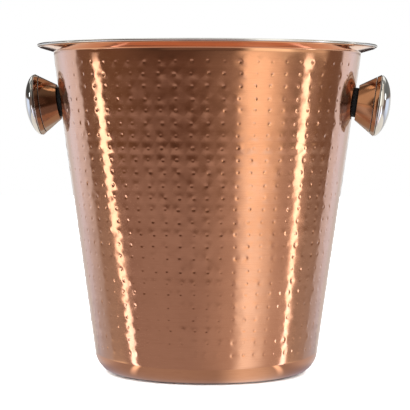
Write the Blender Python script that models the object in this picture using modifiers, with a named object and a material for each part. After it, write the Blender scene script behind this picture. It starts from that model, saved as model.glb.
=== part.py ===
"""Hammered copper ice bucket with a steel liner and two bolted knob handles.

Run with: blender --background --python part.py
Metres, +Z up, origin at the centre of the circle that the bucket stands on, knobs along X.
"""

import math

import bmesh
import bpy
from mathutils import Matrix, Vector

MM = 0.001

# Driving dimensions of the bucket
RIM_HEIGHT = 205.0 * MM          # top of the lip above the table
LIP_RADIUS = 106.0 * MM          # outer edge of the lip
WALL_ANGLE = math.radians(7.94)  # the wall leans out by this much from vertical
FOOT_RADIUS = 68.1 * MM          # where the straight wall would meet the table
CORNER_RADIUS = 14.5 * MM        # round corner between wall and base
KICK_RADIUS = 46.0 * MM          # raised panel in the middle of the base
KICK_HEIGHT = 1.0 * MM
KICK_RAMP = 3.0 * MM
LIP_RISE = math.radians(16.0)    # the lip climbs outwards by this much
LIP_FILLET = 2.6 * MM            # bend between wall and lip, on the outside
BEAD_RADIUS = 0.8 * MM           # rolled edge under the copper lip
STEEL_OVERHANG = 0.7 * MM        # the steel lip reaches this much further along its slope
SHEET = 0.8 * MM                 # thickness of the copper shell and of the steel liner
GAP = 0.3 * MM                   # running gap between touching pieces

# Driving dimensions of one knob, along its axis from the wall's outer face
KNOB_HEIGHT = 169.6 * MM         # where the knob's axis leaves the wall
GASKET_RADIUS = 10.2 * MM
GASKET_TOP = 1.6 * MM
CONE_SMALL_RADIUS = 11.0 * MM
CONE_FLARE = math.radians(33.0)
CONE_TOP = 12.0 * MM
BEZEL_TOP = 15.1 * MM
BEZEL_WALL = 2.4 * MM
DOME_RADIUS = 19.0 * MM
DOME_TOP = 22.6 * MM

# Fasteners: M5 hexagon bolt, washers and cap nut
BOLT_RADIUS = 2.5 * MM
HOLE_RADIUS = 3.0 * MM
HEX_RADIUS = 8.0 * MM / math.sqrt(3)  # corner radius of an 8 mm hexagon
BOLT_HEAD = 3.5 * MM
HEAD_WASHER = 0.9 * MM
HEAD_WASHER_RADIUS = 5.6 * MM
SEAL_RADIUS = 7.5 * MM
SEAL_THICKNESS = 1.9 * MM
WASHER_RADIUS = 6.0 * MM
WASHER_THICKNESS = 1.0 * MM
SPRING_RADIUS = 4.4 * MM
SPRING_THICKNESS = 1.3 * MM
SPRING_SLIT = 1.0 * MM
NUT_HEX_HEIGHT = 4.0 * MM
NUT_DOME_RADIUS = 3.7 * MM
NUT_HEIGHT = 10.0 * MM
NUT_BORE_DEPTH = 7.6 * MM
BOLT_REACH = 6.6 * MM            # how far the bolt goes into the cap nut

# Resolution
SHELL_STEPS = 72
KNOB_STEPS = 28
SMALL_STEPS = 20
CORNER_SEGMENTS = 5
FILLET_SEGMENTS = 4
BEAD_SEGMENTS = 4
DOME_SEGMENTS = 6
MERGE_DISTANCE = 0.00001


def clear_scene():
    for obj in list(bpy.data.objects):
        bpy.data.objects.remove(obj, do_unlink=True)


def new_collection(name):
    collection = bpy.data.collections.new(name)
    bpy.context.scene.collection.children.link(collection)
    return collection


def metal(name, colour, roughness, metallic=1.0):
    material = bpy.data.materials.new(name)
    material.use_nodes = True
    shader = material.node_tree.nodes["Principled BSDF"]
    shader.inputs["Base Color"].default_value = (*colour, 1.0)
    shader.inputs["Roughness"].default_value = roughness
    shader.inputs["Metallic"].default_value = metallic
    return material


def arc(centre, radius, start, end, segments):
    """Points on an arc in the (r, z) plane, angles in radians from +r towards +z."""
    points = []
    for i in range(segments + 1):
        angle = start + (end - start) * i / segments
        points.append((centre[0] + radius * math.cos(angle), centre[1] + radius * math.sin(angle)))
    return points


def offset_path(path, distance):
    """The open path moved sideways, to the left of its direction, with mitred corners."""
    moved = []
    for i, (r, z) in enumerate(path):
        sides = []
        for a, b in ((i - 1, i), (i, i + 1)):
            if a >= 0 and b < len(path):
                along = Vector((path[b][0] - path[a][0], path[b][1] - path[a][1])).normalized()
                sides.append(Vector((-along.y, along.x)))
        middle = sum(sides, Vector((0.0, 0.0))).normalized()
        step = middle * (distance / middle.dot(sides[0]))
        moved.append((max(r + step.x, 0.0), z + step.y))
    return moved


def wall_radius(height, inset=0.0):
    """Radius of the straight wall at a height, measured inset from its outer face."""
    return FOOT_RADIUS + height * math.tan(WALL_ANGLE) - inset / math.cos(WALL_ANGLE)


def sheet_path():
    """The shell's outer face from the base's centre, round the corner, up the wall and out along the lip."""
    corner_z = CORNER_RADIUS
    corner_r = wall_radius(corner_z, CORNER_RADIUS)
    path = [(0.0, KICK_HEIGHT), (KICK_RADIUS, KICK_HEIGHT), (KICK_RADIUS + KICK_RAMP, 0.0)]
    path += arc((corner_r, corner_z), CORNER_RADIUS, -math.pi / 2, -WALL_ANGLE, CORNER_SEGMENTS)
    # The bend's centre lies outside the wall and below the lip's underside.
    stack = (2 * SHEET + GAP) * math.cos(LIP_RISE) + STEEL_OVERHANG * math.sin(LIP_RISE)
    lip_edge = (LIP_RADIUS - BEAD_RADIUS, RIM_HEIGHT - stack)
    slope = math.tan(LIP_RISE)
    wall_slope = math.tan(WALL_ANGLE)
    # Lines parallel to the wall and to the lip, one fillet radius away, meet at the centre.
    wall_at_zero = FOOT_RADIUS + LIP_FILLET / math.cos(WALL_ANGLE)
    lip_at_zero = lip_edge[1] - slope * lip_edge[0] - LIP_FILLET / math.cos(LIP_RISE)
    centre_z = (lip_at_zero + slope * wall_at_zero) / (1 - slope * wall_slope)
    centre_r = wall_at_zero + wall_slope * centre_z
    centre = (centre_r, centre_z)
    path += arc(centre, LIP_FILLET, math.pi - WALL_ANGLE, math.pi / 2 + LIP_RISE, FILLET_SEGMENTS)
    path.append(lip_edge)
    return path


def turned(name, profile, steps, material, collection, closed=True):
    """A solid of revolution about Z. The profile runs down its outer side, at +X."""
    mesh = bpy.data.meshes.new(name)
    edges = [(i, i + 1) for i in range(len(profile) - 1)]
    if closed:
        edges.append((len(profile) - 1, 0))
    mesh.from_pydata([(r, 0.0, z) for r, z in profile], edges, [])
    obj = bpy.data.objects.new(name, mesh)
    collection.objects.link(obj)
    screw = obj.modifiers.new("turn", "SCREW")
    screw.axis = "Z"
    screw.angle = 2 * math.pi
    screw.steps = steps
    screw.render_steps = steps
    screw.use_merge_vertices = True
    screw.merge_threshold = MERGE_DISTANCE
    screw.use_smooth_shade = True
    if material:
        obj.data.materials.append(material)
    return obj


def ring_profile(inner, outer, bottom, top):
    return [(inner, top), (outer, top), (outer, bottom), (inner, bottom)]


def boolean(obj, cutter, operation="DIFFERENCE"):
    modifier = obj.modifiers.new(operation.lower(), "BOOLEAN")
    modifier.operation = operation
    modifier.solver = "EXACT"
    modifier.object = cutter


def as_helper(obj):
    obj.hide_render = True
    obj.display_type = "WIRE"
    return obj


def make_shells(parts, copper, steel):
    """The copper outer shell with its rolled edge, and the steel liner that nests in it."""
    outside = sheet_path()
    inside = offset_path(outside, SHEET)
    edge = outside[-1]
    # The rolled edge hangs from the end of the sheet: the section turns down and back under it.
    across = Vector((-math.sin(LIP_RISE), math.cos(LIP_RISE)))
    bead_centre = (edge[0] - across.x * BEAD_RADIUS / 2, edge[1] - across.y * BEAD_RADIUS / 2)
    bead = arc(bead_centre, BEAD_RADIUS, math.pi + LIP_RISE, 2 * math.pi + LIP_RISE, BEAD_SEGMENTS)
    section = outside[:-1] + bead + list(reversed(inside))
    shell = turned("outer_shell", list(reversed(section)), SHELL_STEPS, copper, parts, closed=False)
    liner_outside = offset_path(outside, SHEET + GAP)
    liner_inside = offset_path(outside, 2 * SHEET + GAP)
    reach = Vector((math.cos(LIP_RISE), math.sin(LIP_RISE))) * STEEL_OVERHANG
    liner_outside[-1] = (liner_outside[-1][0] + reach.x, liner_outside[-1][1] + reach.y)
    liner_inside[-1] = (liner_inside[-1][0] + reach.x, liner_inside[-1][1] + reach.y)
    section = liner_outside + list(reversed(liner_inside))
    liner = turned("inner_liner", list(reversed(section)), SHELL_STEPS, steel, parts, closed=False)
    return shell, liner


def make_wall_proxy(name, inset, cutters):
    """A solid frustum as wide as the wall at that inset, for shaping what sits against the wall."""
    low, high = KNOB_HEIGHT - 30 * MM, KNOB_HEIGHT + 28 * MM
    profile = [(0.0, high), (wall_radius(high, inset), high), (wall_radius(low, inset), low), (0.0, low)]
    return as_helper(turned(name, profile, SHELL_STEPS, None, cutters, closed=False))


def cone_radius(height):
    return CONE_SMALL_RADIUS + (height - GASKET_TOP - GAP) * math.tan(CONE_FLARE)


def cone_profile():
    """A spun cup: flat floor with a bolt hole, flared side, open at the wide end."""
    floor = GASKET_TOP + GAP
    lip = SHEET / math.cos(CONE_FLARE)
    return [
        (cone_radius(CONE_TOP) - lip, CONE_TOP),
        (cone_radius(CONE_TOP), CONE_TOP),
        (cone_radius(floor + 0.6 * MM), floor + 0.6 * MM),
        (CONE_SMALL_RADIUS - 0.4 * MM, floor),
        (HOLE_RADIUS, floor),
        (HOLE_RADIUS, floor + SHEET),
        (cone_radius(floor + SHEET) - lip, floor + SHEET),
    ]


def bezel_profile():
    """The rolled ring that holds the dome's edge, flared like the cone with a rounded outer edge."""
    bottom = CONE_TOP + GAP
    widest = cone_radius(BEZEL_TOP - 0.5 * MM)
    return [
        (widest - BEZEL_WALL, BEZEL_TOP),
        (widest - 0.5 * MM, BEZEL_TOP),
        (widest, BEZEL_TOP - 0.4 * MM),
        (widest - 0.1 * MM, BEZEL_TOP - 0.9 * MM),
        (cone_radius(bottom), bottom),
        (cone_radius(bottom) - BEZEL_WALL, bottom),
    ]


def dome_profile():
    """A spun cap, fuller than a sphere's at its edge, open underneath."""
    base = BEZEL_TOP + GAP
    rise = DOME_TOP - base
    outer = []
    for i in range(DOME_SEGMENTS + 1):
        angle = math.pi / 2 * i / DOME_SEGMENTS
        outer.append((DOME_RADIUS * math.sin(angle), base + rise * math.cos(angle) ** 1.25))
    scale = (DOME_RADIUS - SHEET) / DOME_RADIUS
    inner = [(r * scale, base + (z - base) * (rise - SHEET) / rise) for r, z in outer]
    return outer + list(reversed(inner))


def hexagon(name, height, base, material, collection):
    """A hexagonal prism standing on base."""
    mesh = bpy.data.meshes.new(name)
    shape = bmesh.new()
    bmesh.ops.create_cone(
        shape,
        cap_ends=True,
        segments=6,
        radius1=HEX_RADIUS,
        radius2=HEX_RADIUS,
        depth=height,
    )
    bmesh.ops.translate(shape, verts=shape.verts, vec=(0.0, 0.0, base + height / 2))
    shape.to_mesh(mesh)
    shape.free()
    obj = bpy.data.objects.new(name, mesh)
    collection.objects.link(obj)
    if material:
        obj.data.materials.append(material)
    return obj


def make_bolt(name, material, parts, cutters):
    """Hexagon head inside the knob, shank through both walls into the cap nut."""
    seat = GASKET_TOP + 2 * GAP + SHEET + HEAD_WASHER + GAP
    tip = nut_seat() - BOLT_REACH
    bolt = hexagon(name, BOLT_HEAD, seat, material, parts)
    shank_profile = [
        (0.0, seat + BOLT_HEAD / 2),
        (BOLT_RADIUS, seat + BOLT_HEAD / 2),
        (BOLT_RADIUS, tip + 0.5 * MM),
        (BOLT_RADIUS - 0.5 * MM, tip),
        (0.0, tip),
    ]
    shank = as_helper(turned(name + "_shank", shank_profile, SMALL_STEPS, None, cutters, closed=False))
    boolean(bolt, shank, "UNION")
    return bolt, [shank]


def wall_stack():
    """Where the liner's inner face crosses the knob's axis, below the wall's outer face."""
    return -(2 * SHEET + GAP)


def nut_seat():
    return wall_stack() - GAP - SEAL_THICKNESS - GAP - WASHER_THICKNESS - GAP - SPRING_THICKNESS - GAP


def make_cap_nut(name, material, parts, cutters):
    """A hexagon nut closed by a dome, with a blind bore."""
    seat = nut_seat()
    nut = hexagon(name, NUT_HEX_HEIGHT, seat - NUT_HEX_HEIGHT, material, parts)
    rise = NUT_HEIGHT - NUT_HEX_HEIGHT
    neck = seat - NUT_HEX_HEIGHT
    side = 1.8 * MM
    dome = [(0.0, neck + 1.0 * MM), (NUT_DOME_RADIUS, neck + 1.0 * MM), (NUT_DOME_RADIUS, neck - side)]
    for i in range(1, 5):
        angle = math.pi / 2 * i / 4
        dome.append((NUT_DOME_RADIUS * math.cos(angle), neck - side - (rise - side) * math.sin(angle)))
    dome[-1] = (0.0, seat - NUT_HEIGHT)
    cap = as_helper(turned(name + "_dome", dome, SMALL_STEPS, None, cutters, closed=False))
    bore_radius = BOLT_RADIUS + 0.2 * MM
    bore_profile = [(0.0, seat + MM), (bore_radius, seat + MM), (bore_radius, seat - NUT_BORE_DEPTH),
                    (0.0, seat - NUT_BORE_DEPTH)]
    bore = as_helper(turned(name + "_bore", bore_profile, SMALL_STEPS, None, cutters, closed=False))
    boolean(nut, cap, "UNION")
    boolean(nut, bore, "DIFFERENCE")
    return nut, [cap, bore]


def make_spring_washer(name, material, parts, cutters):
    """A split ring, pressed flat."""
    top = nut_seat() + GAP + SPRING_THICKNESS
    profile = ring_profile(BOLT_RADIUS + 0.3 * MM, SPRING_RADIUS, top - SPRING_THICKNESS, top)
    washer = turned(name, profile, SMALL_STEPS, material, parts)
    mesh = bpy.data.meshes.new(name + "_slit")
    shape = bmesh.new()
    bmesh.ops.create_cube(shape, size=1.0)
    bmesh.ops.scale(shape, verts=shape.verts, vec=(2 * SPRING_RADIUS, SPRING_SLIT, 4 * SPRING_THICKNESS))
    slant = Matrix.Rotation(math.radians(35), 3, "X")
    bmesh.ops.rotate(shape, verts=shape.verts, cent=(0, 0, 0), matrix=slant)
    bmesh.ops.translate(shape, verts=shape.verts, vec=(SPRING_RADIUS, 0.0, top - SPRING_THICKNESS / 2))
    shape.to_mesh(mesh)
    shape.free()
    slit = as_helper(bpy.data.objects.new(name + "_slit", mesh))
    cutters.objects.link(slit)
    boolean(washer, slit)
    return washer, [slit]


def make_knob(side, sign, materials, parts, cutters, outer_proxy, inner_proxy):
    """One handle with all its pieces, on an empty whose +Z is the knob's axis."""
    copper, steel, zinc, rubber = materials
    frame = bpy.data.objects.new(side + "_knob_axis", None)
    parts.objects.link(frame)
    frame.location = (sign * wall_radius(KNOB_HEIGHT), 0.0, KNOB_HEIGHT)
    frame.rotation_euler = (0.0, sign * (math.pi / 2 + WALL_ANGLE), 0.0)

    made = []
    made.append(turned(side + "_knob_dome", dome_profile(), KNOB_STEPS, steel, parts, closed=False))
    made.append(turned(side + "_knob_bezel", bezel_profile(), KNOB_STEPS, copper, parts))
    made.append(turned(side + "_knob_cone", cone_profile(), KNOB_STEPS, copper, parts))

    floor = GASKET_TOP + GAP + SHEET
    head_washer = ring_profile(HOLE_RADIUS, HEAD_WASHER_RADIUS, floor + GAP, floor + GAP + HEAD_WASHER)
    made.append(turned(side + "_head_washer", head_washer, SMALL_STEPS, zinc, parts))

    bolt, helpers = make_bolt(side + "_bolt", zinc, parts, cutters)
    made.append(bolt)
    made += helpers

    gasket = turned(side + "_gasket", ring_profile(HOLE_RADIUS, GASKET_RADIUS, -3 * MM, GASKET_TOP),
                    KNOB_STEPS, rubber, parts)
    boolean(gasket, outer_proxy)
    made.append(gasket)

    seal_face = wall_stack() - GAP - SEAL_THICKNESS
    seal = turned(side + "_seal_washer", ring_profile(HOLE_RADIUS, SEAL_RADIUS, seal_face, 3 * MM),
                  SMALL_STEPS, rubber, parts)
    boolean(seal, inner_proxy, "INTERSECT")
    made.append(seal)

    washer_top = seal_face - GAP
    washer = ring_profile(HOLE_RADIUS - 0.2 * MM, WASHER_RADIUS, washer_top - WASHER_THICKNESS, washer_top)
    made.append(turned(side + "_plain_washer", washer, SMALL_STEPS, zinc, parts))

    spring, helpers = make_spring_washer(side + "_spring_washer", zinc, parts, cutters)
    made.append(spring)
    made += helpers

    nut, helpers = make_cap_nut(side + "_cap_nut", zinc, parts, cutters)
    made.append(nut)
    made += helpers

    hole_profile = [(0.0, 8 * MM), (HOLE_RADIUS, 8 * MM), (HOLE_RADIUS, -8 * MM), (0.0, -8 * MM)]
    hole = as_helper(turned(side + "_bolt_hole", hole_profile, SMALL_STEPS, None, cutters, closed=False))
    made.append(hole)
    for obj in made:
        obj.parent = frame
    return hole


def main():
    clear_scene()
    parts = new_collection("ice_bucket")
    cutters = new_collection("cutters")
    copper = metal("copper", (0.72, 0.38, 0.25), 0.22)
    steel = metal("polished_steel", (0.72, 0.71, 0.69), 0.12)
    zinc = metal("bright_zinc", (0.62, 0.62, 0.62), 0.3)
    rubber = metal("black_rubber", (0.02, 0.02, 0.02), 0.6, metallic=0.0)
    shell, liner = make_shells(parts, copper, steel)
    outer_proxy = make_wall_proxy("outer_wall_proxy", -GAP, cutters)
    inner_proxy = make_wall_proxy("inner_wall_proxy", 2 * SHEET + 2 * GAP, cutters)
    materials = (copper, steel, zinc, rubber)
    for side, sign in (("left", -1), ("right", 1)):
        hole = make_knob(side, sign, materials, parts, cutters, outer_proxy, inner_proxy)
        boolean(shell, hole)
        boolean(liner, hole)


main()
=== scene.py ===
"""Hammered copper ice bucket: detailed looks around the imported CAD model.

Metres, +Z up, knobs along X, the origin where the bucket's axis meets the table.
"""

import math

import bpy
import numpy as np
from mathutils import Matrix, Vector


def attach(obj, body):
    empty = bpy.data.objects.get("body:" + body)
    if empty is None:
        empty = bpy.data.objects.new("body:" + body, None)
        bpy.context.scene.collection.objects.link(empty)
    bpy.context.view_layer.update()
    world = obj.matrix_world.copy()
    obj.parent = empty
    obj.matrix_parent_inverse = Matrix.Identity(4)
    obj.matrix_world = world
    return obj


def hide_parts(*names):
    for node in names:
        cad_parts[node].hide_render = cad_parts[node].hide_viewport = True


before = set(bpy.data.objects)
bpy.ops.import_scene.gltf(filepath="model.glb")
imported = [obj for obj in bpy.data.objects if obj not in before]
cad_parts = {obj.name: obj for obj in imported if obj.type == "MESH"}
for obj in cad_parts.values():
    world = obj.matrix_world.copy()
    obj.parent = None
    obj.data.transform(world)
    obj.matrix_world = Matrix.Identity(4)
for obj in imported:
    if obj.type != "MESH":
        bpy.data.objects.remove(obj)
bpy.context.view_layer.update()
MM = 0.001

# Bucket, as in the CAD
RIM_HEIGHT = 205.0 * MM
LIP_RADIUS = 106.0 * MM
WALL_ANGLE = math.radians(7.94)
FOOT_RADIUS = 68.1 * MM
CORNER_RADIUS = 14.5 * MM
KICK_RADIUS = 46.0 * MM
KICK_HEIGHT = 1.0 * MM
KICK_RAMP = 3.0 * MM
LIP_RISE = math.radians(16.0)
LIP_FILLET = 2.6 * MM
BEAD_RADIUS = 0.8 * MM
STEEL_OVERHANG = 0.7 * MM
SHEET = 0.8 * MM
GAP = 0.3 * MM

# Knob, as in the CAD, along its axis from the wall's outer face
KNOB_HEIGHT = 169.6 * MM
GASKET_TOP = 1.6 * MM
CONE_SMALL_RADIUS = 11.0 * MM
CONE_FLARE = math.radians(33.0)
CONE_TOP = 12.0 * MM
BEZEL_TOP = 15.1 * MM
BEZEL_WALL = 2.4 * MM
DOME_RADIUS = 19.0 * MM
DOME_TOP = 22.6 * MM
DOME_POWER = 1.25                 # 1 would make the dome half an ellipse; above 1 it is less full
HOLE_RADIUS = 3.0 * MM

# Knob, unlike the CAD
GASKET_RADIUS = 9.2 * MM          # 1 mm less than the CAD's
GASKET_SEAT = 1.85 * MM           # 0.25 mm above the CAD's top: the rubber bulges up to just under the cone
BEZEL_EDGE_FALL = 0.5 * MM        # the bezel's outer edge is eased this far down
BEZEL_EDGE_IN = 0.35 * MM         # and this far in

# Hammer marks: a grid of soft pillows, each with a small pit from the punch in its middle
COLUMNS = 62
ROWS = 25
ROW_PITCH = 7.21 * MM
FIRST_ROW = 19.2 * MM             # height of the lowest row of pits
FIRST_COLUMN = math.radians(4.2)  # a column of pits faces this way, measured from -Y towards +X
ROW_JITTER = 0.5 * MM
PIT_JITTER = 0.7 * MM
PILLOW_HEIGHT = 0.05 * MM
PILLOW_SPREAD = (0.3, 1.7)        # least and most of that height, drawn for each pillow
PILLOW_TILT = 0.085               # slope added at random across a pillow
UPRIGHT_TILT = 0.28               # share of that slope up and down the wall
PIT_DEPTH = 0.145 * MM
PIT_SPREAD = (0.4, 1.4)           # least and most of that depth, drawn for each pit
PIT_RADIUS = 0.75 * MM
ROW_FORCE = (0.0, 1.5)            # least and most force of the hammer, drawn for each row
FORCE_SHARE = 0.4                 # how much of a pillow's height follows its row's force
RIDGE_HEIGHT = 0.06 * MM          # each row also swells, or sinks, all the way round
RIDGE_LEVEL_FORCE = 0.5           # the force at which it does neither
RIDGE_WANE = 0.6
RIDGE_WAVES = 5                   # the swell waxes and wanes this many times around the wall
RIDGE_TWIST = 4.0 * MM            # and drifts round from row to row
LEAST_STRENGTH = 0.7
STRENGTH_GAIN = 0.6               # the hammering is deeper by this in a band above the middle
BAND_START = (118.0 * MM, 142.0 * MM)
BAND_END = (162.0 * MM, 180.0 * MM)
LEAST_CRISPNESS = 0.5             # the pits are shallower near the foot
CRISPNESS_GAIN = 0.4
CRISPNESS_RISE = (40.0 * MM, 130.0 * MM)
CELL_RINGS = (0.35 * MM, 0.7 * MM, 1.05 * MM, 1.5 * MM, 2.5 * MM)
SIDE_STEPS = 3                    # edges along the level sides of a cell
UPRIGHT_STEPS = 2                 # edges along its upright sides
HEM_RADIUS = 0.75 * MM            # rolled edge of the steel lip
HEM_OUT = 0.43 * MM
HEM_SETBACK = 0.4 * MM            # the copper lip stops this far inside its nominal edge
NECK_TOP = 198.7 * MM
NECK_BEND = 3.0 * MM              # the bend meets wall and lip where an arc of this radius would
NECK_START = 191.5 * MM           # above here the wall turns upright, towards the lip
NECK_IN = 0.15 * MM               # and stands this much inside its straight line at the bend
SMOOTH_AROUND_KNOB = 21.0 * MM    # no marks nearer than this to a knob's axis
FULL_AROUND_KNOB = 1.2            # and full marks from this many times as far
SEED = 11

# Fineness of the turned pieces: edges around each, and edges along each curve
LINER_SEGMENTS = 144
KNOB_SEGMENTS = 96
GASKET_SEGMENTS = 64
DISC_SEGMENTS = 96
KICK_STEPS = 8
CORNER_STEPS = 20
FILLET_STEPS = 10
NECK_BEND_STEPS = 7
COPPER_EDGE_STEPS = 8
HEM_STEPS = 16
DOME_STEPS = 24
SHARP_ON_KNOB = math.radians(50.0)
SHARP_ON_SHEET = math.radians(60.0)

# Metal: lines left by spinning, read on a ring of fixed size so that they run level round the bucket
LINE_RING = 50.0 * MM
WORN = (0.92, 0.90, 0.88)         # tarnish, as a share of the copper's own colour
DARK = (0.84, 0.76, 0.70)

# Camera: height and distance from the bucket's axis, swung towards the right-hand knob
CAMERA_SWING = math.radians(4.0)
CAMERA_DISTANCE = 1122.3 * MM
CAMERA_HEIGHT = 160.1 * MM
CAMERA_PITCH = math.radians(2.82)
CAMERA_ROLL = math.radians(0.2)
CAMERA_ASIDE = -1.1 * MM
CAMERA_LENS = 156.92

rng = np.random.default_rng(SEED)


# ---------------------------------------------------------------- outlines

def arc(centre, radius, start, end, steps):
    points = []
    for i in range(steps + 1):
        angle = start + (end - start) * i / steps
        points.append((centre[0] + radius * math.cos(angle), centre[1] + radius * math.sin(angle)))
    return points


def offset_path(path, distance):
    """The open path moved sideways, to the left of its direction, with mitred corners."""
    moved = []
    for i, (r, z) in enumerate(path):
        sides = []
        for a, b in ((i - 1, i), (i, i + 1)):
            if a >= 0 and b < len(path):
                along = Vector((path[b][0] - path[a][0], path[b][1] - path[a][1])).normalized()
                sides.append(Vector((-along.y, along.x)))
        middle = sum(sides, Vector((0.0, 0.0))).normalized()
        step = middle * (distance / middle.dot(sides[0]))
        moved.append((max(r + step.x, 0.0), z + step.y))
    return moved


def wall_radius(height, inset=0.0):
    return FOOT_RADIUS + height * math.tan(WALL_ANGLE) - inset / math.cos(WALL_ANGLE)


def neck(height):
    """How far the wall stands inside its straight line, close under the lip."""
    rise = np.clip((height - NECK_START) / (NECK_TOP - NECK_START), 0.0, 1.0)
    return NECK_IN * rise ** 2


def base_path():
    """Outer face of the base, from its centre to the top of the rounded corner."""
    centre = (wall_radius(CORNER_RADIUS, CORNER_RADIUS), CORNER_RADIUS)
    path = [(0.0, KICK_HEIGHT), (KICK_RADIUS * 0.5, KICK_HEIGHT)]
    for i in range(KICK_STEPS + 1):
        ramp = i / KICK_STEPS
        fall = KICK_HEIGHT * (0.5 + 0.5 * math.cos(math.pi * ramp))
        path.append((KICK_RADIUS + KICK_RAMP * ramp, fall))
    return path + arc(centre, CORNER_RADIUS, -math.pi / 2, -WALL_ANGLE, CORNER_STEPS)


def lip_path():
    """Outer face from the bend above the wall to the edge of the copper lip."""
    stack = (2 * SHEET + GAP) * math.cos(LIP_RISE) + STEEL_OVERHANG * math.sin(LIP_RISE)
    edge = (LIP_RADIUS - BEAD_RADIUS, RIM_HEIGHT - stack)
    slope = math.tan(LIP_RISE)
    wall_slope = math.tan(WALL_ANGLE)
    wall_at_zero = FOOT_RADIUS + LIP_FILLET / math.cos(WALL_ANGLE)
    lip_at_zero = edge[1] - slope * edge[0] - LIP_FILLET / math.cos(LIP_RISE)
    centre_z = (lip_at_zero + slope * wall_at_zero) / (1 - slope * wall_slope)
    centre_r = wall_at_zero + wall_slope * centre_z
    centre = (centre_r, centre_z)
    bend = arc(centre, LIP_FILLET, math.pi - WALL_ANGLE, math.pi / 2 + LIP_RISE, FILLET_STEPS)
    middle = ((bend[-1][0] + edge[0]) / 2, (bend[-1][1] + edge[1]) / 2)
    return bend + [middle, edge]


def lip_point(edge, along, up):
    """A point on the lip's section: distance out along the lip and up from its copper face."""
    return (
        edge[0] + along * math.cos(LIP_RISE) - up * math.sin(LIP_RISE),
        edge[1] + along * math.sin(LIP_RISE) + up * math.cos(LIP_RISE),
    )


def rounded(corners, radii, steps=4):
    """A closed outline with its corners rounded, each by its own radius."""
    most_of_side = 0.48
    outline = []
    count = len(corners)
    for i, (corner, size) in enumerate(zip(corners, radii)):
        here = Vector(corner)
        before = Vector(corners[i - 1]) - here
        after = Vector(corners[(i + 1) % count]) - here
        if size <= 0.0:
            outline.append(tuple(here))
            continue
        half = before.angle(after) / 2
        reach = min(size / math.tan(half), before.length * most_of_side, after.length * most_of_side)
        start = here + before.normalized() * reach
        end = here + after.normalized() * reach
        for k in range(steps + 1):
            t = k / steps
            outline.append(tuple(start * (1 - t) ** 2 + here * 2 * t * (1 - t) + end * t ** 2))
    return outline


# ---------------------------------------------------------------- meshes

def finish_piece(name, mesh, material, slot, *nodes):
    """Make the mesh a piece that rides on the root and stands for the CAD nodes."""
    obj = bpy.data.objects.new(name, mesh)
    bpy.context.scene.collection.objects.link(obj)
    mesh.materials.append(material)
    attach(obj, "root")
    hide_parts(*nodes)
    return obj


def smooth_mesh(name, vertices, faces, sharp_angle):
    mesh = bpy.data.meshes.new(name)
    mesh.from_pydata([tuple(v) for v in vertices], [], faces)
    mesh.validate()
    mesh.shade_smooth()
    mesh.set_sharp_from_angle(angle=sharp_angle)
    return mesh


class Turned:
    """Collects rings of vertices about Z, with the faces between them."""

    def __init__(self, segments, phase=0.0):
        self.segments = segments
        self.phase = phase
        self.vertices = []
        self.faces = []

    def add(self, points):
        first = len(self.vertices)
        self.vertices.extend(points)
        return list(range(first, len(self.vertices)))

    def ring(self, radius, height):
        if radius < 1e-7:
            return self.add([(0.0, 0.0, height)])
        angles = self.phase + 2 * math.pi * np.arange(self.segments) / self.segments
        return self.add([(radius * math.sin(a), -radius * math.cos(a), height) for a in angles])

    def bridge(self, low, high):
        """Faces between two rings, seen from outside when the second is above the first."""
        n = self.segments
        for k in range(n):
            nxt = (k + 1) % n
            if len(low) == 1 and len(high) > 1:
                self.faces.append((low[0], high[nxt], high[k]))
            elif len(high) == 1 and len(low) > 1:
                self.faces.append((low[k], low[nxt], high[0]))
            elif len(low) > 1:
                self.faces.append((low[k], low[nxt], high[nxt], high[k]))

    def sweep(self, profile, start=None, closed=False):
        """Rings along a profile, joined one to the next. Returns the first and last ring."""
        first = start
        previous = start
        for radius, height in profile:
            ring = self.ring(radius, height)
            if previous is None:
                first = ring
            else:
                self.bridge(previous, ring)
            previous = ring
        if closed:
            self.bridge(previous, first)
        return first, previous


def turned_piece(name, profile, material, slot, node, matrix):
    """A lathe piece; its profile runs anticlockwise with the axis on the left."""
    body = Turned(KNOB_SEGMENTS)
    body.sweep(profile, closed=True)
    mesh = smooth_mesh(name, body.vertices, body.faces, SHARP_ON_KNOB)
    mesh.transform(matrix)
    return finish_piece(name, mesh, material, slot, node)


def wall_point(angle, height, lift=0.0):
    """Points on the wall's outer face, raised along its normal; angle runs from -Y towards +X."""
    radius = wall_radius(height) - neck(height) + lift * math.cos(WALL_ANGLE)
    z = height - lift * math.sin(WALL_ANGLE)
    return np.stack([radius * np.sin(angle), -radius * np.cos(angle), z], axis=-1)


def knob_distance(angle, height):
    """Distance along the wall from a point on it to the nearer knob's axis."""
    across = np.minimum(np.abs(angle - math.pi / 2), np.abs(angle + math.pi / 2))
    across = np.minimum(across, np.abs(angle - 1.5 * math.pi))
    return np.hypot(across * wall_radius(KNOB_HEIGHT), height - KNOB_HEIGHT)


def smoothstep(value, low, high):
    t = np.clip((value - low) / (high - low), 0.0, 1.0)
    return t * t * (3 - 2 * t)


def hammer_strength(height):
    """The hammering is deepest in a band above the middle."""
    return LEAST_STRENGTH + STRENGTH_GAIN * (smoothstep(height, *BAND_START) - smoothstep(height, *BAND_END))


def clear_of_knobs(angle, height):
    """1 on the hammered wall, 0 on the smooth patch around each knob."""
    full = FULL_AROUND_KNOB * SMOOTH_AROUND_KNOB
    return smoothstep(knob_distance(angle, height), SMOOTH_AROUND_KNOB, full)


def row_ridge(row_force, angle, height):
    """How far a row swells, or sinks, at its middle; it waxes and wanes slowly around the wall."""
    wave = 1.0 + RIDGE_WANE * np.sin(RIDGE_WAVES * angle + height / RIDGE_TWIST)
    swell = RIDGE_HEIGHT * (row_force - RIDGE_LEVEL_FORCE) * wave
    return swell * hammer_strength(height) * clear_of_knobs(angle, height)


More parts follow.
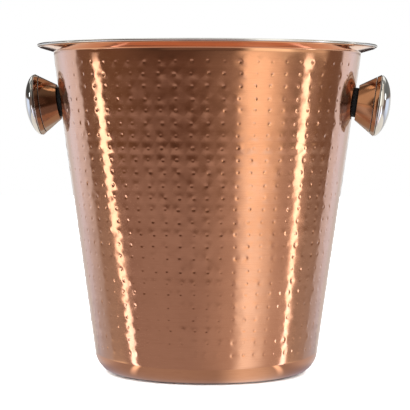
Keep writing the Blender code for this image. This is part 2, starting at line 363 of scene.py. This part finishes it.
def hammered_wall(body, low, high, low_height, high_height):
    """Fill the wall between two rings with hammered cells."""
    step = 2 * math.pi / COLUMNS
    rows = FIRST_ROW + ROW_PITCH * np.arange(ROWS) + rng.uniform(-ROW_JITTER, ROW_JITTER, ROWS)
    limits = np.concatenate([[low_height], (rows[1:] + rows[:-1]) / 2, [high_height]])
    bottom = low
    for j in range(ROWS):
        z0, z1 = limits[j], limits[j + 1]
        top = high if j == ROWS - 1 else body.ring(wall_radius(z1) - neck(z1), z1)
        # Vertices inside the upright sides, shared by neighbouring cells
        sides = []
        row_force = rng.uniform(*ROW_FORCE)
        shares = np.arange(1, UPRIGHT_STEPS) / UPRIGHT_STEPS
        heights = z0 + (z1 - z0) * shares
        for i in range(COLUMNS):
            angle = body.phase + i * step
            lift = row_ridge(row_force, angle, (z0 + z1) / 2) * np.sin(math.pi * shares) ** 2
            points = wall_point(np.full(len(heights), angle), heights, lift)
            sides.append(body.add([tuple(p) for p in points]))
        for i in range(COLUMNS):
            nxt = (i + 1) % COLUMNS
            k = SIDE_STEPS * i
            low_side = [bottom[(k + m) % len(bottom)] for m in range(SIDE_STEPS + 1)]
            high_side = [top[(k + m) % len(top)] for m in range(SIDE_STEPS + 1)]
            loop = low_side + sides[nxt] + high_side[::-1] + sides[i][::-1]
            fill_cell(body, loop, body.phase + (i + 0.5) * step, rows[j], z0, z1, row_force)
        bottom = top


def fill_cell(body, loop, angle, height, z0, z1, row_force):
    """One hammer mark inside its loop of border vertices."""
    radius = wall_radius(height)
    half_width = math.pi / COLUMNS * radius
    middle = (z0 + z1) / 2
    half_height = (z1 - z0) / 2 / math.cos(WALL_ANGLE)
    mid_u = rng.uniform(-PIT_JITTER, PIT_JITTER)
    mid_v = rng.uniform(-PIT_JITTER, PIT_JITTER) * 0.5 + (height - middle)
    border = np.array([body.vertices[n] for n in loop])
    turn = (np.arctan2(border[:, 0], -border[:, 1]) - angle + math.pi) % (2 * math.pi) - math.pi
    border_u = turn * radius - mid_u
    border_v = (border[:, 2] - middle) / math.cos(WALL_ANGLE) - mid_v
    ways = np.arctan2(border_v, border_u)
    strength = hammer_strength(height)
    crispness = LEAST_CRISPNESS + CRISPNESS_GAIN * float(smoothstep(height, *CRISPNESS_RISE))
    keep = float(clear_of_knobs(angle, height))
    force = 1.0 - FORCE_SHARE + FORCE_SHARE * row_force
    rise = PILLOW_HEIGHT * rng.uniform(*PILLOW_SPREAD) * force * strength * keep
    tilt_u, tilt_v = rng.uniform(-PILLOW_TILT, PILLOW_TILT, 2) * (keep, UPRIGHT_TILT * keep)
    depth = PIT_DEPTH * rng.uniform(*PIT_SPREAD) * crispness * keep
    rings = []
    for size in (0.0,) + CELL_RINGS:
        count = 1 if size == 0.0 else len(loop)
        u = mid_u + size * np.cos(ways[:count])
        v = mid_v + size * np.sin(ways[:count])
        upright = np.cos(np.pi / 2 * v / half_height) ** 2
        window = np.cos(np.pi / 2 * u / half_width) ** 2 * upright
        lift = window * (rise + tilt_u * u + tilt_v * v)
        lift = lift + row_ridge(row_force, angle + u / radius, middle) * upright
        lift = lift - depth / (1 + (size / PIT_RADIUS) ** 4)
        points = wall_point(angle + u / radius, middle + v * math.cos(WALL_ANGLE), lift)
        rings.append(body.add([tuple(p) for p in points]))
    rings.append(loop)
    count = len(loop)
    for m in range(count):
        n = (m + 1) % count
        body.faces.append((rings[0][0], rings[1][m], rings[1][n]))
        for inner, outer in zip(rings[1:-1], rings[2:]):
            body.faces.append((inner[m], outer[m], outer[n], inner[n]))


def make_shell(material):
    """The copper shell: base, hammered wall, lip with its rolled edge, and the inner face.

    It has no bolt holes: the bolts pass through the sheet, under the gaskets.
    """
    low_height = FIRST_ROW - ROW_PITCH / 2
    high_height = FIRST_ROW + ROW_PITCH * (ROWS - 0.5)
    base = base_path()
    lip = lip_path()
    edge = lip[-1]
    centre = lip_point(edge, -HEM_SETBACK - SHEET / 2, SHEET / 2)
    end = arc(centre, SHEET / 2, LIP_RISE - math.pi / 2, LIP_RISE + math.pi / 2, COPPER_EDGE_STEPS)
    inside = offset_path(base[::3] + [base[-1]] + lip[:-1], SHEET)
    phase = FIRST_COLUMN - math.pi / COLUMNS
    body = Turned(COLUMNS * SIDE_STEPS, phase)
    _, low = body.sweep(base + [(wall_radius(low_height), low_height)])
    high = body.ring(wall_radius(high_height) - neck(high_height), high_height)
    hammered_wall(body, low, high, low_height, high_height)
    # The neck meets the bend, which runs out to the lip's edge
    heights = np.linspace(high_height, NECK_TOP, 4)[1:]
    outer = [(wall_radius(z) - neck(z), z) for z in heights]
    corner = (outer[-1][0], edge[1] - (edge[0] - outer[-1][0]) * math.tan(LIP_RISE))
    bend = rounded([outer[-1], corner, edge], [0.0, NECK_BEND, 0.0], NECK_BEND_STEPS)[1:-1]
    body.sweep(outer + bend + end + inside[::-1], start=high)
    mesh = smooth_mesh("hammered_shell", body.vertices, body.faces, SHARP_ON_SHEET)
    return finish_piece("hammered_shell", mesh, material, "copper", "outer_shell")


def make_liner(material):
    """The steel liner: one sheet that nests in the shell, rolled down over the edge of its lip.

    It has no bolt holes: the bolts pass through the sheet, under the seal washers.
    """
    path = base_path() + lip_path()
    top = 2 * SHEET + GAP
    outside = offset_path(path, SHEET + GAP)
    inside = offset_path(path, top)
    centre = lip_point(path[-1], HEM_OUT, top - HEM_RADIUS)
    meet = math.asin((SHEET - HEM_RADIUS) / HEM_RADIUS)
    edge = arc(centre, HEM_RADIUS, LIP_RISE - math.pi - meet, LIP_RISE + math.pi / 2, HEM_STEPS)
    profile = outside[:-1] + edge + inside[:-1][::-1]
    body = Turned(LINER_SEGMENTS)
    body.sweep(profile)
    mesh = smooth_mesh("steel_liner", body.vertices, body.faces, SHARP_ON_SHEET)
    return finish_piece("steel_liner", mesh, material, "polished_steel", "inner_liner")


def cone_radius(height):
    return CONE_SMALL_RADIUS + (height - GASKET_TOP - GAP) * math.tan(CONE_FLARE)


def cone_outline():
    """A spun cup: flat floor with a bolt hole, flared side, open at the wide end."""
    floor = GASKET_TOP + GAP
    lip = SHEET / math.cos(CONE_FLARE)
    corners = [
        (HOLE_RADIUS, floor),
        (CONE_SMALL_RADIUS, floor),
        (cone_radius(CONE_TOP), CONE_TOP),
        (cone_radius(CONE_TOP) - lip, CONE_TOP),
        (cone_radius(floor + SHEET) - lip, floor + SHEET),
        (HOLE_RADIUS, floor + SHEET),
    ]
    radii = [0.1 * MM, 0.25 * MM, 0.22 * MM, 0.1 * MM, 0.4 * MM, 0.1 * MM]
    return rounded(corners, radii)


def bezel_outline():
    """The rolled ring that holds the dome's edge, flared like the cone, with a rounded outer edge."""
    bottom = CONE_TOP + GAP
    eased = BEZEL_TOP - BEZEL_EDGE_FALL
    widest = cone_radius(eased)
    corners = [
        (cone_radius(bottom) - BEZEL_WALL, bottom),
        (cone_radius(bottom), bottom),
        (widest, eased),
        (widest - BEZEL_EDGE_IN, BEZEL_TOP),
        (widest - BEZEL_WALL, BEZEL_TOP),
    ]
    radii = [0.2 * MM, 0.2 * MM, 0.3 * MM, 0.3 * MM, 0.2 * MM]
    return rounded(corners, radii)


def dome_outline():
    """A spun cap, open underneath, fuller at its edge than part of a sphere."""
    base = BEZEL_TOP + GAP
    rise = DOME_TOP - base
    outer = []
    for i in range(DOME_STEPS + 1):
        angle = math.pi / 2 * (DOME_STEPS - i) / DOME_STEPS
        outer.append((DOME_RADIUS * math.sin(angle), base + rise * math.cos(angle) ** DOME_POWER))
    scale = (DOME_RADIUS - SHEET) / DOME_RADIUS
    inner = [(r * scale, base + (z - base) * (rise - SHEET) / rise) for r, z in outer]
    return outer + inner[::-1]


def make_gasket(side, matrix, rubber):
    """The rubber ring between wall and cone: flat on top, its underside bedded on the curved wall.

    Between its edges the underside is straight, so it sinks 0.05 mm into the wall there.
    """
    corners = [
        (HOLE_RADIUS, 0.0),
        (GASKET_RADIUS, 0.0),
        (GASKET_RADIUS, GASKET_SEAT),
        (HOLE_RADIUS, GASKET_SEAT),
    ]
    radii = [0.0, 0.0, 0.3 * MM, 0.1 * MM]
    body = Turned(GASKET_SEGMENTS)
    body.sweep(rounded(corners, radii), closed=True)
    half_way = GASKET_SEAT / 2
    bend = 2 * wall_radius(KNOB_HEIGHT)
    points = [(x, y, z - y * y / bend if z < half_way else z) for x, y, z in body.vertices]
    mesh = smooth_mesh(f"{side}_gasket_bedded", points, body.faces, SHARP_ON_KNOB)
    mesh.transform(matrix)
    return finish_piece(f"{side}_gasket_bedded", mesh, rubber, "black_rubber", f"{side}_gasket")


def make_knob(side, sign, copper, steel, rubber):
    """The turned pieces of one knob, square to the wall on its own side."""
    matrix = Matrix.Translation((sign * wall_radius(KNOB_HEIGHT), 0.0, KNOB_HEIGHT))
    matrix = matrix @ Matrix.Rotation(sign * (math.pi / 2 + WALL_ANGLE), 4, "Y")
    parts = (
        ("cone", cone_outline(), copper, "copper"),
        ("bezel", bezel_outline(), copper, "copper"),
        ("dome", dome_outline(), steel, "polished_steel"),
    )
    for part, outline, material, slot in parts:
        turned_piece(f"{side}_{part}_turned", outline, material, slot, f"{side}_knob_{part}", matrix)
    make_gasket(side, matrix, rubber)


# ---------------------------------------------------------------- node materials

class Nodes:
    """Short calls for building a shader from nodes."""

    def __init__(self, tree):
        self.tree = tree
        tree.nodes.clear()

    def add(self, kind, **settings):
        node = self.tree.nodes.new(kind)
        for key, value in settings.items():
            setattr(node, key, value)
        return node

    def feed(self, socket, value):
        if isinstance(value, bpy.types.NodeSocket):
            self.tree.links.new(value, socket)
        else:
            socket.default_value = value

    def math(self, operation, a, b=None):
        node = self.add("ShaderNodeMath", operation=operation)
        self.feed(node.inputs[0], a)
        if b is not None:
            self.feed(node.inputs[1], b)
        return node.outputs[0]

    def ramp(self, value, low, high, out_low=0.0, out_high=1.0, smooth=True):
        """Value mapped from low..high to out_low..out_high and held there outside."""
        node = self.add("ShaderNodeMapRange", clamp=True)
        node.interpolation_type = "SMOOTHSTEP" if smooth else "LINEAR"
        self.feed(node.inputs["Value"], value)
        limits = {"From Min": low, "From Max": high, "To Min": out_low, "To Max": out_high}
        for key, number in limits.items():
            self.feed(node.inputs[key], number)
        return node.outputs["Result"]

    def fall(self, value, low, high):
        """1 up to low, 0 from high on."""
        return self.ramp(value, low, high, 1.0, 0.0)

    def band(self, value, start, full, fade, end):
        """0 up to start, 1 from full to fade, 0 from end on."""
        return self.product(self.ramp(value, start, full), self.fall(value, fade, end))

    def product(self, *parts):
        result = parts[0]
        for part in parts[1:]:
            result = self.math("MULTIPLY", result, part)
        return result

    def distance(self, x, y):
        """How far (x, y) is from (0, 0)."""
        squares = self.math("ADD", self.product(x, x), self.product(y, y))
        return self.math("SQRT", squares)

    def bearing(self, x, y):
        """Degrees round the Z axis, from -Y towards +X."""
        angle = self.math("ARCTAN2", x, self.math("MULTIPLY", y, -1.0))
        return self.math("MULTIPLY", angle, math.degrees(1.0))

    def mix(self, factor, a, b, blend="MIX"):
        """Colour b over colour a, as far as the factor says."""
        node = self.add("ShaderNodeMix", data_type="RGBA", blend_type=blend)
        self.feed(node.inputs["Factor"], factor)
        self.feed(node.inputs["A"], a)
        self.feed(node.inputs["B"], b)
        return node.outputs["Result"]

    def noise(self, vector, scale, detail=2.0, roughness=0.5, distortion=0.0):
        node = self.add("ShaderNodeTexNoise")
        self.feed(node.inputs["Vector"], vector)
        node.inputs["Scale"].default_value = scale
        node.inputs["Detail"].default_value = detail
        node.inputs["Roughness"].default_value = roughness
        node.inputs["Distortion"].default_value = distortion
        return node.outputs["Fac"]

    def bump(self, height, distance, normal=None):
        node = self.add("ShaderNodeBump")
        node.inputs["Distance"].default_value = distance
        self.feed(node.inputs["Height"], height)
        if normal is not None:
            self.feed(node.inputs["Normal"], normal)
        return node.outputs["Normal"]

    def combine(self, x, y, z):
        node = self.add("ShaderNodeCombineXYZ")
        for socket, value in zip(node.inputs, (x, y, z)):
            self.feed(socket, value)
        return node.outputs[0]

    def separate(self, vector):
        node = self.add("ShaderNodeSeparateXYZ")
        self.feed(node.inputs[0], vector)
        return node.outputs

    def object_point(self):
        return self.add("ShaderNodeTexCoord").outputs["Object"]


def new_material(name):
    material = bpy.data.materials.new(name)
    material.use_nodes = True
    nodes = Nodes(material.node_tree)
    shader = nodes.add("ShaderNodeBsdfPrincipled")
    output = nodes.add("ShaderNodeOutputMaterial")
    material.node_tree.links.new(shader.outputs[0], output.inputs["Surface"])
    return material, nodes, shader


def wound_point(nodes, point, least_radius, lean, crowding):
    """The point moved on to a ring of fixed size, so that noise read there runs in level lines."""
    x, y, z = nodes.separate(point)
    radius = nodes.distance(x, y)
    ring = nodes.math("DIVIDE", LINE_RING, nodes.math("MAXIMUM", radius, least_radius))
    along = nodes.math("SUBTRACT", z, nodes.math("MULTIPLY", radius, lean))
    return nodes.combine(nodes.product(x, ring), nodes.product(y, ring), nodes.product(along, crowding))


def make_copper(name, tint, edge_tint, coat, line_depth, roughness):
    """Lacquered copper: slight tarnish, fine lines from spinning and polishing, a thin clear coat."""
    material, nodes, shader = new_material(name)
    point = nodes.object_point()
    wound = wound_point(nodes, point, 10.0 * MM, 0.6, 14.0)
    lines = nodes.noise(wound, 42.0, detail=3.0, roughness=0.6)
    fine = nodes.noise(wound, 130.0, detail=2.0, roughness=0.7)
    cloud = nodes.noise(point, 28.0, detail=3.0, roughness=0.55)
    smudge = nodes.noise(point, 90.0, detail=2.0, roughness=0.6, distortion=0.6)
    worn = [share * part for share, part in zip(WORN, tint)] + [1]
    dark = [share * part for share, part in zip(DARK, tint)] + [1]
    colour = nodes.mix(nodes.ramp(cloud, 0.35, 0.68), (*tint, 1), worn)
    colour = nodes.mix(nodes.ramp(fine, 0.45, 0.75, 0.0, 0.35), colour, dark)
    shader.inputs["Metallic"].default_value = 1.0
    nodes.feed(shader.inputs["Base Color"], colour)
    dullness = nodes.ramp(smudge, 0.3, 0.75, roughness * 0.85, roughness * 1.25)
    nodes.feed(shader.inputs["Roughness"], dullness)
    shader.inputs["Specular Tint"].default_value = (*edge_tint, 1)
    shader.inputs["Coat Weight"].default_value = coat
    shader.inputs["Coat Roughness"].default_value = 0.06
    shader.inputs["Coat IOR"].default_value = 1.5
    normal = nodes.bump(lines, line_depth)
    normal = nodes.bump(smudge, line_depth * 2.5, normal)
    nodes.feed(shader.inputs["Normal"], normal)
    return material


def make_steel(name, roughness, line_depth):
    """Bright steel with faint rings from spinning and a few smears."""
    material, nodes, shader = new_material(name)
    point = nodes.object_point()
    wound = wound_point(nodes, point, 4.0 * MM, 1.0, 16.0)
    lines = nodes.noise(wound, 60.0, detail=3.0, roughness=0.65)
    smear = nodes.noise(point, 55.0, detail=3.0, roughness=0.6, distortion=0.4)
    colour = nodes.mix(nodes.ramp(smear, 0.35, 0.7), (0.70, 0.69, 0.66, 1), (0.62, 0.61, 0.585, 1))
    shader.inputs["Metallic"].default_value = 1.0
    nodes.feed(shader.inputs["Base Color"], colour)
    dullness = nodes.ramp(smear, 0.3, 0.75, roughness * 0.8, roughness * 1.4)
    nodes.feed(shader.inputs["Roughness"], dullness)
    nodes.feed(shader.inputs["Normal"], nodes.bump(lines, line_depth))
    return material


def make_zinc():
    """Bright zinc plating on the fasteners, a little cloudy."""
    material, nodes, shader = new_material("zinc_plate")
    point = nodes.object_point()
    cloud = nodes.noise(point, 420.0, detail=3.0, roughness=0.6)
    colour = nodes.mix(nodes.ramp(cloud, 0.35, 0.7), (0.66, 0.67, 0.69, 1), (0.54, 0.55, 0.56, 1))
    shader.inputs["Metallic"].default_value = 1.0
    nodes.feed(shader.inputs["Base Color"], colour)
    nodes.feed(shader.inputs["Roughness"], nodes.ramp(cloud, 0.3, 0.75, 0.2, 0.34))
    grain = nodes.noise(point, 1500.0, detail=2.0)
    nodes.feed(shader.inputs["Normal"], nodes.bump(grain, 0.004 * MM))
    return material


def make_rubber():
    """Matt black rubber with a fine moulded grain."""
    material, nodes, shader = new_material("rubber_seal")
    point = nodes.object_point()
    grain = nodes.noise(point, 1600.0, detail=3.0, roughness=0.6)
    bloom = nodes.noise(point, 180.0, detail=2.0)
    colour = nodes.mix(bloom, (0.003, 0.003, 0.003, 1), (0.006, 0.006, 0.006, 1))
    nodes.feed(shader.inputs["Base Color"], colour)
    nodes.feed(shader.inputs["Roughness"], nodes.ramp(grain, 0.3, 0.7, 0.5, 0.68))
    shader.inputs["Specular IOR Level"].default_value = 0.1
    nodes.feed(shader.inputs["Normal"], nodes.bump(grain, 0.01 * MM))
    return material


# ---------------------------------------------------------------- studio

class Room(Nodes):
    """A room painted by direction, one patch over another, and fixed in place.

    In degrees, side is the bearing from the side that the scene's own camera is on, + to its right;
    aside is the same without its sign; and rise is the elevation.
    """

    def __init__(self, tree):
        super().__init__(tree)
        turn = self.add("ShaderNodeVectorRotate", rotation_type="Z_AXIS")
        self.feed(turn.inputs["Vector"], self.add("ShaderNodeTexCoord").outputs["Generated"])
        turn.inputs["Angle"].default_value = -CAMERA_SWING
        x, y, z = self.separate(turn.outputs[0])
        self.side = self.bearing(x, y)
        self.aside = self.math("ABSOLUTE", self.side)
        self.rise = self.math("MULTIPLY", self.math("ARCSINE", z), math.degrees(1.0))
        self.colour = (0.0, 0.0, 0.0, 1)

    def paint(self, where, colour, blend="MIX"):
        self.colour = self.mix(where, self.colour, colour, blend)

    def slope(self, value, rate, start):
        """A straight line over a value."""
        return self.math("ADD", self.math("MULTIPLY", value, rate), start)

    def off(self, value, centre):
        """How far a value is from a centre, either way."""
        return self.math("ABSOLUTE", self.math("SUBTRACT", value, centre))


def paint_walls(room):
    """A dim room, darker higher up, with a pale table below its edge."""
    side, aside, rise = room.side, room.aside, room.rise
    room.colour = room.mix(room.ramp(rise, -15.0, -5.0), (0.150, 0.095, 0.078, 1), (0.085, 0.060, 0.052, 1))
    front = room.product(room.fall(aside, 25.0, 40.0), room.band(rise, -7.0, -3.0, 15.0, 25.0))
    room.paint(front, (0.21, 0.15, 0.13, 1))
    room.paint(room.fall(side, -75.0, -30.0), (0.200, 0.135, 0.110, 1))
    round_side = room.ramp(aside, 87.0, 97.0)
    room.paint(round_side, (0.235, 0.165, 0.135, 1))
    table_edge = room.slope(aside, 0.06, -18.3)
    table_colour = room.mix(round_side, (0.43, 0.365, 0.39, 1), (0.50, 0.46, 0.47, 1))
    room.paint(room.ramp(room.math("SUBTRACT", table_edge, rise), -4.0, 4.0), table_colour)
    # The part of the table nearest the foot
    room.paint(room.fall(rise, -45.0, -42.5), (0.85, 0.62, 0.54, 1))
    room.paint(room.fall(rise, -62.0, -54.0), (0.66, 0.56, 0.60, 1))


def paint_back(room):
    """Behind the bucket: grey above the horizon, a panel on each side, and a white table further down.

    Between the panels it is white too, with a dark gap in the middle.
    """
    side, aside, rise = room.side, room.aside, room.rise
    far_side = room.ramp(aside, 88.0, 100.0)
    high_side = room.mix(room.ramp(side, -1.0, 1.0), (0.075, 0.07, 0.065, 1), (0.20, 0.20, 0.19, 1))
    room.paint(room.product(far_side, room.ramp(rise, 0.0, 5.0)), high_side)
    start = room.ramp(side, -1.0, 1.0, 114.0, 121.0)
    below_horizon = room.fall(rise, 0.3, 2.0)
    panel = room.product(room.ramp(room.math("SUBTRACT", aside, start), -2.0, 2.0), below_horizon)
    near = room.mix(room.ramp(rise, -15.0, -6.0), (0.55, 0.56, 0.64, 1), (0.92, 1.02, 1.25, 1))
    far = room.mix(room.ramp(rise, -12.5, -9.5), (0.44, 0.44, 0.46, 1), (0.70, 0.68, 0.66, 1))
    room.paint(panel, room.mix(room.ramp(aside, 136.0, 156.0), near, far))
    room.paint(room.product(room.ramp(aside, 160.0, 166.0), below_horizon), (0.92, 0.91, 0.90, 1))
    table_edge = room.slope(room.math("ADD", aside, -90.0), 0.11, -21.0)
    white_table = room.ramp(room.math("SUBTRACT", table_edge, rise), -1.5, 1.5)
    room.paint(room.product(far_side, white_table), (1.03, 0.95, 0.86, 1))
    gap = room.product(room.ramp(aside, 169.5, 171.0), room.band(rise, -12.0, -9.5, 1.0, 2.0))
    room.paint(gap, (0.04, 0.03, 0.03, 1))


def paint_soft_box(room):
    """A broad soft box in front on the right, bright at its left edge and fading away to the right."""
    side, rise = room.side, room.rise
    upright = room.product(room.fall(rise, -11.0, -4.0), room.ramp(rise, -70.0, -24.0))
    edge = room.ramp(rise, -23.0, -12.0, 32.0, 25.0, smooth=False)
    from_edge = room.math("SUBTRACT", side, edge)
    beside = room.product(room.ramp(from_edge, -7.0, 8.0), room.fall(side, 40.0, 72.0))
    box_colour = room.mix(room.ramp(rise, -22.0, -14.0), (1.18, 1.22, 1.36, 1), (1.30, 1.12, 0.98, 1))
    room.paint(room.product(beside, upright), box_colour)
    skirt = room.product(room.ramp(side, -20.0, 40.0), room.ramp(side, 88.0, 98.0, 0.27, 0.0), upright)
    room.paint(skirt, (0.9, 0.8, 0.76, 1), "ADD")


def paint_strips(room):
    """A narrow strip light on each side; both lie at a greater bearing further down."""
    rise = room.rise
    sway = room.fall(rise, -20.0, -10.5)
    ends = room.product(room.fall(rise, -10.0, -5.0), room.ramp(rise, -60.0, -24.0))
    for centre, drift, width in ((-92.0, 10.0, 2.7), (82.0, 6.0, 3.3)):
        away = room.off(room.side, room.slope(sway, drift, centre))
        strip = room.product(room.fall(away, width * 0.55, width * 1.6), ends)
        strip_colour = room.mix(room.ramp(rise, -22.0, -15.0), (3.1, 3.3, 4.2, 1), (3.0, 2.95, 3.05, 1))
        room.paint(strip, strip_colour)


def paint_lamps(room):
    """A small round lamp on each side, a little above the horizon."""
    for centre, height in ((-107.0, 11.5), (114.0, 6.0)):
        away = room.distance(room.math("ADD", room.side, -centre), room.math("ADD", room.rise, -height))
        room.paint(room.fall(away, 2.5, 5.5), (5.0, 5.0, 5.0, 1))


def paint_ceiling(room):
    """Grey above, with pale patches at the back and a large soft box overhead.

    On the right are a window and a glow beside it, and there is a long lamp on each side.
    """
    side, aside, rise = room.side, room.aside, room.rise
    room.paint(room.ramp(rise, 14.0, 34.0), (0.33, 0.32, 0.30, 1))
    high_back = room.product(room.band(aside, 131.0, 141.0, 170.0, 174.0), room.ramp(rise, 17.0, 22.0))
    room.paint(high_back, (1.2, 1.2, 1.15, 1))
    room.paint(room.ramp(rise, 52.0, 64.0), (1.5, 1.48, 1.45, 1))
    glow = room.product(room.band(side, 60.0, 74.0, 94.0, 104.0), room.band(rise, -10.0, -4.0, 30.0, 45.0))
    room.paint(glow, (0.85, 0.76, 0.66, 1))
    window = room.product(room.band(side, 24.0, 36.0, 60.0, 74.0), room.band(rise, -10.0, -4.0, 40.0, 52.0))
    room.paint(window, (1.6, 1.55, 1.4, 1))
    lamp_height = room.fall(room.off(rise, 41.0), 1.0, 3.0)
    lamp_length = room.fall(room.off(aside, 93.0), 14.0, 20.0)
    room.paint(room.product(lamp_height, lamp_length), (3.0, 2.7, 2.2, 1))


def make_studio():
    """White to the camera and even light for matt surfaces; what metal mirrors is a room of its own."""
    world = bpy.data.worlds.new("studio")
    bpy.context.scene.world = world
    world.use_nodes = True
    world.cycles.sampling_method = "NONE"
    room = Room(world.node_tree)
    for paint in (paint_walls, paint_back, paint_soft_box, paint_strips, paint_lamps, paint_ceiling):
        paint(room)
    path = room.add("ShaderNodeLightPath")
    seen = room.mix(path.outputs["Is Glossy Ray"], (5.0, 5.0, 5.0, 1), room.colour)
    seen = room.mix(path.outputs["Is Camera Ray"], seen, (1.0, 1.0, 1.0, 1))
    background = room.add("ShaderNodeBackground")
    room.feed(background.inputs["Color"], seen)
    output = room.add("ShaderNodeOutputWorld")
    world.node_tree.links.new(background.outputs[0], output.inputs["Surface"])


def make_floor():
    """A plain white floor, which the metal doesn't mirror."""
    material, nodes, shader = new_material("white_floor")
    grain = nodes.noise(nodes.object_point(), 60.0, detail=2.0)
    nodes.feed(shader.inputs["Base Color"], nodes.mix(grain, (0.80, 0.80, 0.80, 1), (0.82, 0.82, 0.82, 1)))
    shader.inputs["Roughness"].default_value = 0.9
    shader.inputs["Specular IOR Level"].default_value = 0.0
    floor = disc("floor", 2.5, -0.05 * MM, material)
    floor.visible_glossy = False


def make_foot_shade():
    """A glowing disc, seen only in the metal, for the table right around the rounded foot: painted shade
    right under the foot, painted light on the table with a pool of light, and painted reflections of the two
    strip lights.
    """
    shade, nodes, shader = new_material("foot_shade")
    shader.inputs["Base Color"].default_value = (0.0, 0.0, 0.0, 1)
    shader.inputs["Specular IOR Level"].default_value = 0.0
    x, y, _ = nodes.separate(nodes.object_point())
    radius = nodes.distance(x, y)
    side = nodes.bearing(x, y)
    aside = nodes.math("ABSOLUTE", side)
    # Painted light on the table: lighter in front than at the sides.
    colour = nodes.mix(nodes.ramp(aside, 40.0, 75.0), (0.47, 0.40, 0.40, 1), (0.40, 0.34, 0.37, 1))
    # A painted pool of light on the table, on the soft box's side.
    colour = nodes.mix(nodes.band(side, 8.0, 26.0, 26.0, 60.0), colour, (1.0, 0.90, 0.86, 1))
    outside = nodes.ramp(radius, 62.0 * MM, 80.0 * MM)
    # Painted reflections of the two strip lights in the table.
    for middle in (-41.5, 50.5):
        away = nodes.math("ABSOLUTE", nodes.math("SUBTRACT", side, middle))
        strip_reflection = nodes.product(nodes.fall(away, 0.5, 4.0), outside)
        colour = nodes.mix(strip_reflection, colour, (1.9, 1.7, 1.6, 1))
    # Painted light: the table paler towards the disc's edge at the sides.
    rim = nodes.product(nodes.ramp(radius, 66.0 * MM, 80.0 * MM), nodes.ramp(aside, 50.0, 80.0))
    colour = nodes.mix(rim, colour, (0.66, 0.58, 0.57, 1))
    # Painted shade: near black right under the foot.
    beyond_foot = nodes.ramp(radius, 57.0 * MM, 61.5 * MM)
    colour = nodes.mix(beyond_foot, (0.04, 0.02, 0.015, 1), colour)
    nodes.feed(shader.inputs["Emission Color"], colour)
    shader.inputs["Emission Strength"].default_value = 1.0
    shade.cycles.emission_sampling = "NONE"
    foot = disc("foot_shade", 100.0 * MM, -0.02 * MM, shade, 20.0 * MM)
    foot.visible_camera = False
    foot.visible_diffuse = False
    foot.visible_shadow = False


def disc(name, radius, height, material, back=0.0):
    """A level disc; back moves its centre along +Y."""
    turns = [2 * math.pi * i / DISC_SEGMENTS for i in range(DISC_SEGMENTS)]
    ring = [(radius * math.cos(a), back + radius * math.sin(a), 0.0) for a in turns]
    mesh = bpy.data.meshes.new(name)
    mesh.from_pydata(ring, [], [tuple(range(DISC_SEGMENTS))])
    mesh.materials.append(material)
    obj = bpy.data.objects.new(name, mesh)
    obj.location.z = height
    bpy.context.scene.collection.objects.link(obj)
    return obj


def make_camera():
    data = bpy.data.cameras.new("camera")
    data.lens = CAMERA_LENS
    data.clip_start = 0.01
    camera = bpy.data.objects.new("camera", data)
    bpy.context.scene.collection.objects.link(camera)
    swing = Matrix.Rotation(CAMERA_SWING, 4, "Z")
    place = swing @ Matrix.Translation((CAMERA_ASIDE, -CAMERA_DISTANCE, CAMERA_HEIGHT))
    tilt = Matrix.Rotation(math.pi / 2 - CAMERA_PITCH, 4, "X")
    camera.matrix_world = place @ tilt @ Matrix.Rotation(CAMERA_ROLL, 4, "Z")
    bpy.context.scene.camera = camera


# ---------------------------------------------------------------- scene

make_camera()
make_studio()
make_floor()
make_foot_shade()
bpy.context.scene.view_settings.view_transform = "Standard"

hammered_copper = make_copper(
    "hammered_copper",
    tint=(0.70, 0.35, 0.185),
    edge_tint=(1.0, 1.0, 1.0),
    coat=0.6,
    line_depth=0.004 * MM,
    roughness=0.10,
)
spun_copper = make_copper(
    "spun_copper",
    tint=(0.42, 0.37, 0.33),
    edge_tint=(0.6, 0.5, 0.45),
    coat=0.1,
    line_depth=0.002 * MM,
    roughness=0.09,
)
spun_steel = make_steel("spun_steel", roughness=0.16, line_depth=0.006 * MM)
mirror_steel = make_steel("mirror_steel", roughness=0.05, line_depth=0.001 * MM)
zinc = make_zinc()
rubber = make_rubber()

make_shell(hammered_copper)
make_liner(spun_steel)
for side, sign in (("left", -1), ("right", 1)):
    make_knob(side, sign, spun_copper, mirror_steel, rubber)

KEPT = {
    "seal_washer": rubber,
    "head_washer": zinc,
    "bolt": zinc,
    "plain_washer": zinc,
    "spring_washer": zinc,
    "cap_nut": zinc,
}
for side in ("left", "right"):
    for part, material in KEPT.items():
        node = bpy.data.objects[f"{side}_{part}"]
        for slot in node.material_slots:
            slot.material = material
